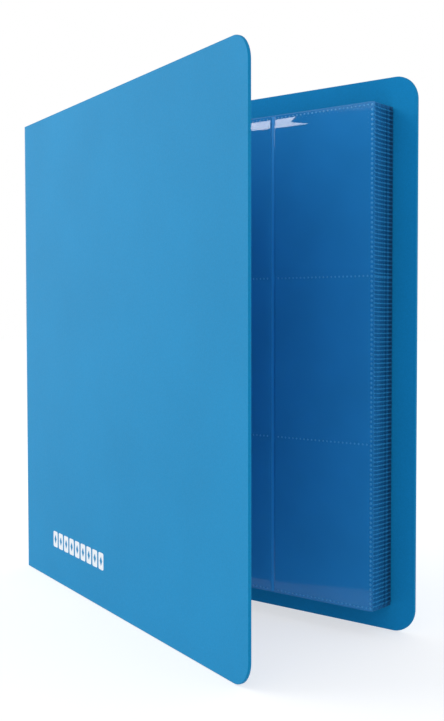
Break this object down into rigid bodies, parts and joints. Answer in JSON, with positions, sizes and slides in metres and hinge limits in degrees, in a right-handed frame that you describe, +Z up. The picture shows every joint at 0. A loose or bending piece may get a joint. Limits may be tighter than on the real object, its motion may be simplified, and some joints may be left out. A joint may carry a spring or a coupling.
{
  "type": "trading card binder",
  "caption": "Square flexible plastic card binder with rounded corners, living-hinge spine and a welded block of side-loading pocket leaves, standing half open.",
  "frame": {"origin": "middle of the bounding box, on the plane that the bottom edges stand on", "axes": "+Z up the spine, +X from the spine to the free edge of the back cover, +Y out of the back cover's outer face"},
  "size_m": [0.307, 0.1308, 0.318],
  "materials": {
    "cover_front": "fine matte grain, coloured through",
    "cover_back": "fine matte grain, coloured through",
    "cover_spine": "fine matte grain, coloured through",
    "living_hinge": "thinned and pressed smooth along the fold",
    "binding": "satin, welded",
    "divider": "satin, semi-matte",
    "film": "clear glossy film with fine dotted welds"
  },
  "bodies": {
    "back_cover": {"back_cover": "cover_back", "binding_strip": "binding"},
    "spine": {"spine_panel": "cover_spine", "back_living_hinge": "living_hinge", "front_living_hinge": "living_hinge"},
    "front_cover": {"front_cover": "cover_front"},
    "leaf_01": {"leaf_01_sheet": "divider", "leaf_01_pockets": "film"},
    "leaf_02": {"leaf_02_sheet": "divider", "leaf_02_pockets": "film"},
    "leaf_03": {"leaf_03_sheet": "divider", "leaf_03_pockets": "film"},
    "leaf_04": {"leaf_04_sheet": "divider", "leaf_04_pockets": "film"},
    "leaf_05": {"leaf_05_sheet": "divider", "leaf_05_pockets": "film"},
    "leaf_06": {"leaf_06_sheet": "divider", "leaf_06_pockets": "film"},
    "leaf_07": {"leaf_07_sheet": "divider", "leaf_07_pockets": "film"},
    "leaf_08": {"leaf_08_sheet": "divider", "leaf_08_pockets": "film"},
    "leaf_09": {"leaf_09_sheet": "divider", "leaf_09_pockets": "film"},
    "leaf_10": {"leaf_10_sheet": "divider", "leaf_10_pockets": "film"},
    "leaf_11": {"leaf_11_sheet": "divider", "leaf_11_pockets": "film"},
    "leaf_12": {"leaf_12_sheet": "divider", "leaf_12_pockets": "film"},
    "leaf_13": {"leaf_13_sheet": "divider", "leaf_13_pockets": "film"},
    "leaf_14": {"leaf_14_sheet": "divider", "leaf_14_pockets": "film"},
    "leaf_15": {"leaf_15_sheet": "divider", "leaf_15_pockets": "film"},
    "leaf_16": {"leaf_16_sheet": "divider", "leaf_16_pockets": "film"},
    "leaf_17": {"leaf_17_sheet": "divider", "leaf_17_pockets": "film"},
    "leaf_18": {"leaf_18_sheet": "divider", "leaf_18_pockets": "film"},
    "leaf_19": {"leaf_19_sheet": "divider", "leaf_19_pockets": "film"},
    "leaf_20": {"leaf_20_sheet": "divider", "leaf_20_pockets": "film"}
  },
  "joints": [
    {"name": "back_cover_hinge", "type": "hinge", "parent": "back_cover", "child": "spine", "pos_m": [-0.15265, 0.06453, 0.159], "axis": [0, 0, -1], "range_deg": [0, 180]},
    {"name": "front_cover_hinge", "type": "hinge", "parent": "spine", "child": "front_cover", "pos_m": [-0.15265, 0.03813, 0.159], "axis": [0, 0, -1], "range_deg": [-19.6, 160]},
    {"name": "leaf_20_turn", "type": "hinge", "parent": "back_cover", "child": "leaf_20", "pos_m": [-0.14265, 0.06283, 0.1581], "axis": [0, 0, -1], "range_deg": [0, 7]},
    {"name": "leaf_19_turn", "type": "hinge", "parent": "leaf_20", "child": "leaf_19", "pos_m": [-0.14265, 0.06184, 0.1581], "axis": [0, 0, -1], "range_deg": [0, 7]},
    {"name": "leaf_18_turn", "type": "hinge", "parent": "leaf_19", "child": "leaf_18", "pos_m": [-0.14265, 0.06085, 0.1581], "axis": [0, 0, -1], "range_deg": [0, 7]},
    {"name": "leaf_17_turn", "type": "hinge", "parent": "leaf_18", "child": "leaf_17", "pos_m": [-0.14265, 0.05986, 0.1581], "axis": [0, 0, -1], "range_deg": [0, 7]},
    {"name": "leaf_16_turn", "type": "hinge", "parent": "leaf_17", "child": "leaf_16", "pos_m": [-0.14265, 0.05887, 0.1581], "axis": [0, 0, -1], "range_deg": [0, 7]},
    {"name": "leaf_15_turn", "type": "hinge", "parent": "leaf_16", "child": "leaf_15", "pos_m": [-0.14265, 0.05788, 0.1581], "axis": [0, 0, -1], "range_deg": [0, 7]},
    {"name": "leaf_14_turn", "type": "hinge", "parent": "leaf_15", "child": "leaf_14", "pos_m": [-0.14265, 0.05689, 0.1581], "axis": [0, 0, -1], "range_deg": [0, 7]},
    {"name": "leaf_13_turn", "type": "hinge", "parent": "leaf_14", "child": "leaf_13", "pos_m": [-0.14265, 0.0559, 0.1581], "axis": [0, 0, -1], "range_deg": [0, 7]},
    {"name": "leaf_12_turn", "type": "hinge", "parent": "leaf_13", "child": "leaf_12", "pos_m": [-0.14265, 0.05491, 0.1581], "axis": [0, 0, -1], "range_deg": [0, 7]},
    {"name": "leaf_11_turn", "type": "hinge", "parent": "leaf_12", "child": "leaf_11", "pos_m": [-0.14265, 0.05392, 0.1581], "axis": [0, 0, -1], "range_deg": [0, 7]},
    {"name": "leaf_10_turn", "type": "hinge", "parent": "leaf_11", "child": "leaf_10", "pos_m": [-0.14265, 0.05293, 0.1581], "axis": [0, 0, -1], "range_deg": [0, 7]},
    {"name": "leaf_09_turn", "type": "hinge", "parent": "leaf_10", "child": "leaf_09", "pos_m": [-0.14265, 0.05194, 0.1581], "axis": [0, 0, -1], "range_deg": [0, 7]},
    {"name": "leaf_08_turn", "type": "hinge", "parent": "leaf_09", "child": "leaf_08", "pos_m": [-0.14265, 0.05095, 0.1581], "axis": [0, 0, -1], "range_deg": [0, 7]},
    {"name": "leaf_07_turn", "type": "hinge", "parent": "leaf_08", "child": "leaf_07", "pos_m": [-0.14265, 0.04996, 0.1581], "axis": [0, 0, -1], "range_deg": [0, 7]},
    {"name": "leaf_06_turn", "type": "hinge", "parent": "leaf_07", "child": "leaf_06", "pos_m": [-0.14265, 0.04897, 0.1581], "axis": [0, 0, -1], "range_deg": [0, 7]},
    {"name": "leaf_05_turn", "type": "hinge", "parent": "leaf_06", "child": "leaf_05", "pos_m": [-0.14265, 0.04798, 0.1581], "axis": [0, 0, -1], "range_deg": [0, 7]},
    {"name": "leaf_04_turn", "type": "hinge", "parent": "leaf_05", "child": "leaf_04", "pos_m": [-0.14265, 0.04699, 0.1581], "axis": [0, 0, -1], "range_deg": [0, 7]},
    {"name": "leaf_03_turn", "type": "hinge", "parent": "leaf_04", "child": "leaf_03", "pos_m": [-0.14265, 0.046, 0.1581], "axis": [0, 0, -1], "range_deg": [0, 7]},
    {"name": "leaf_02_turn", "type": "hinge", "parent": "leaf_03", "child": "leaf_02", "pos_m": [-0.14265, 0.04501, 0.1581], "axis": [0, 0, -1], "range_deg": [0, 7]},
    {"name": "leaf_01_turn", "type": "hinge", "parent": "leaf_02", "child": "leaf_01", "pos_m": [-0.14265, 0.04402, 0.1581], "axis": [0, 0, -1], "range_deg": [0, 20]}
  ]
}
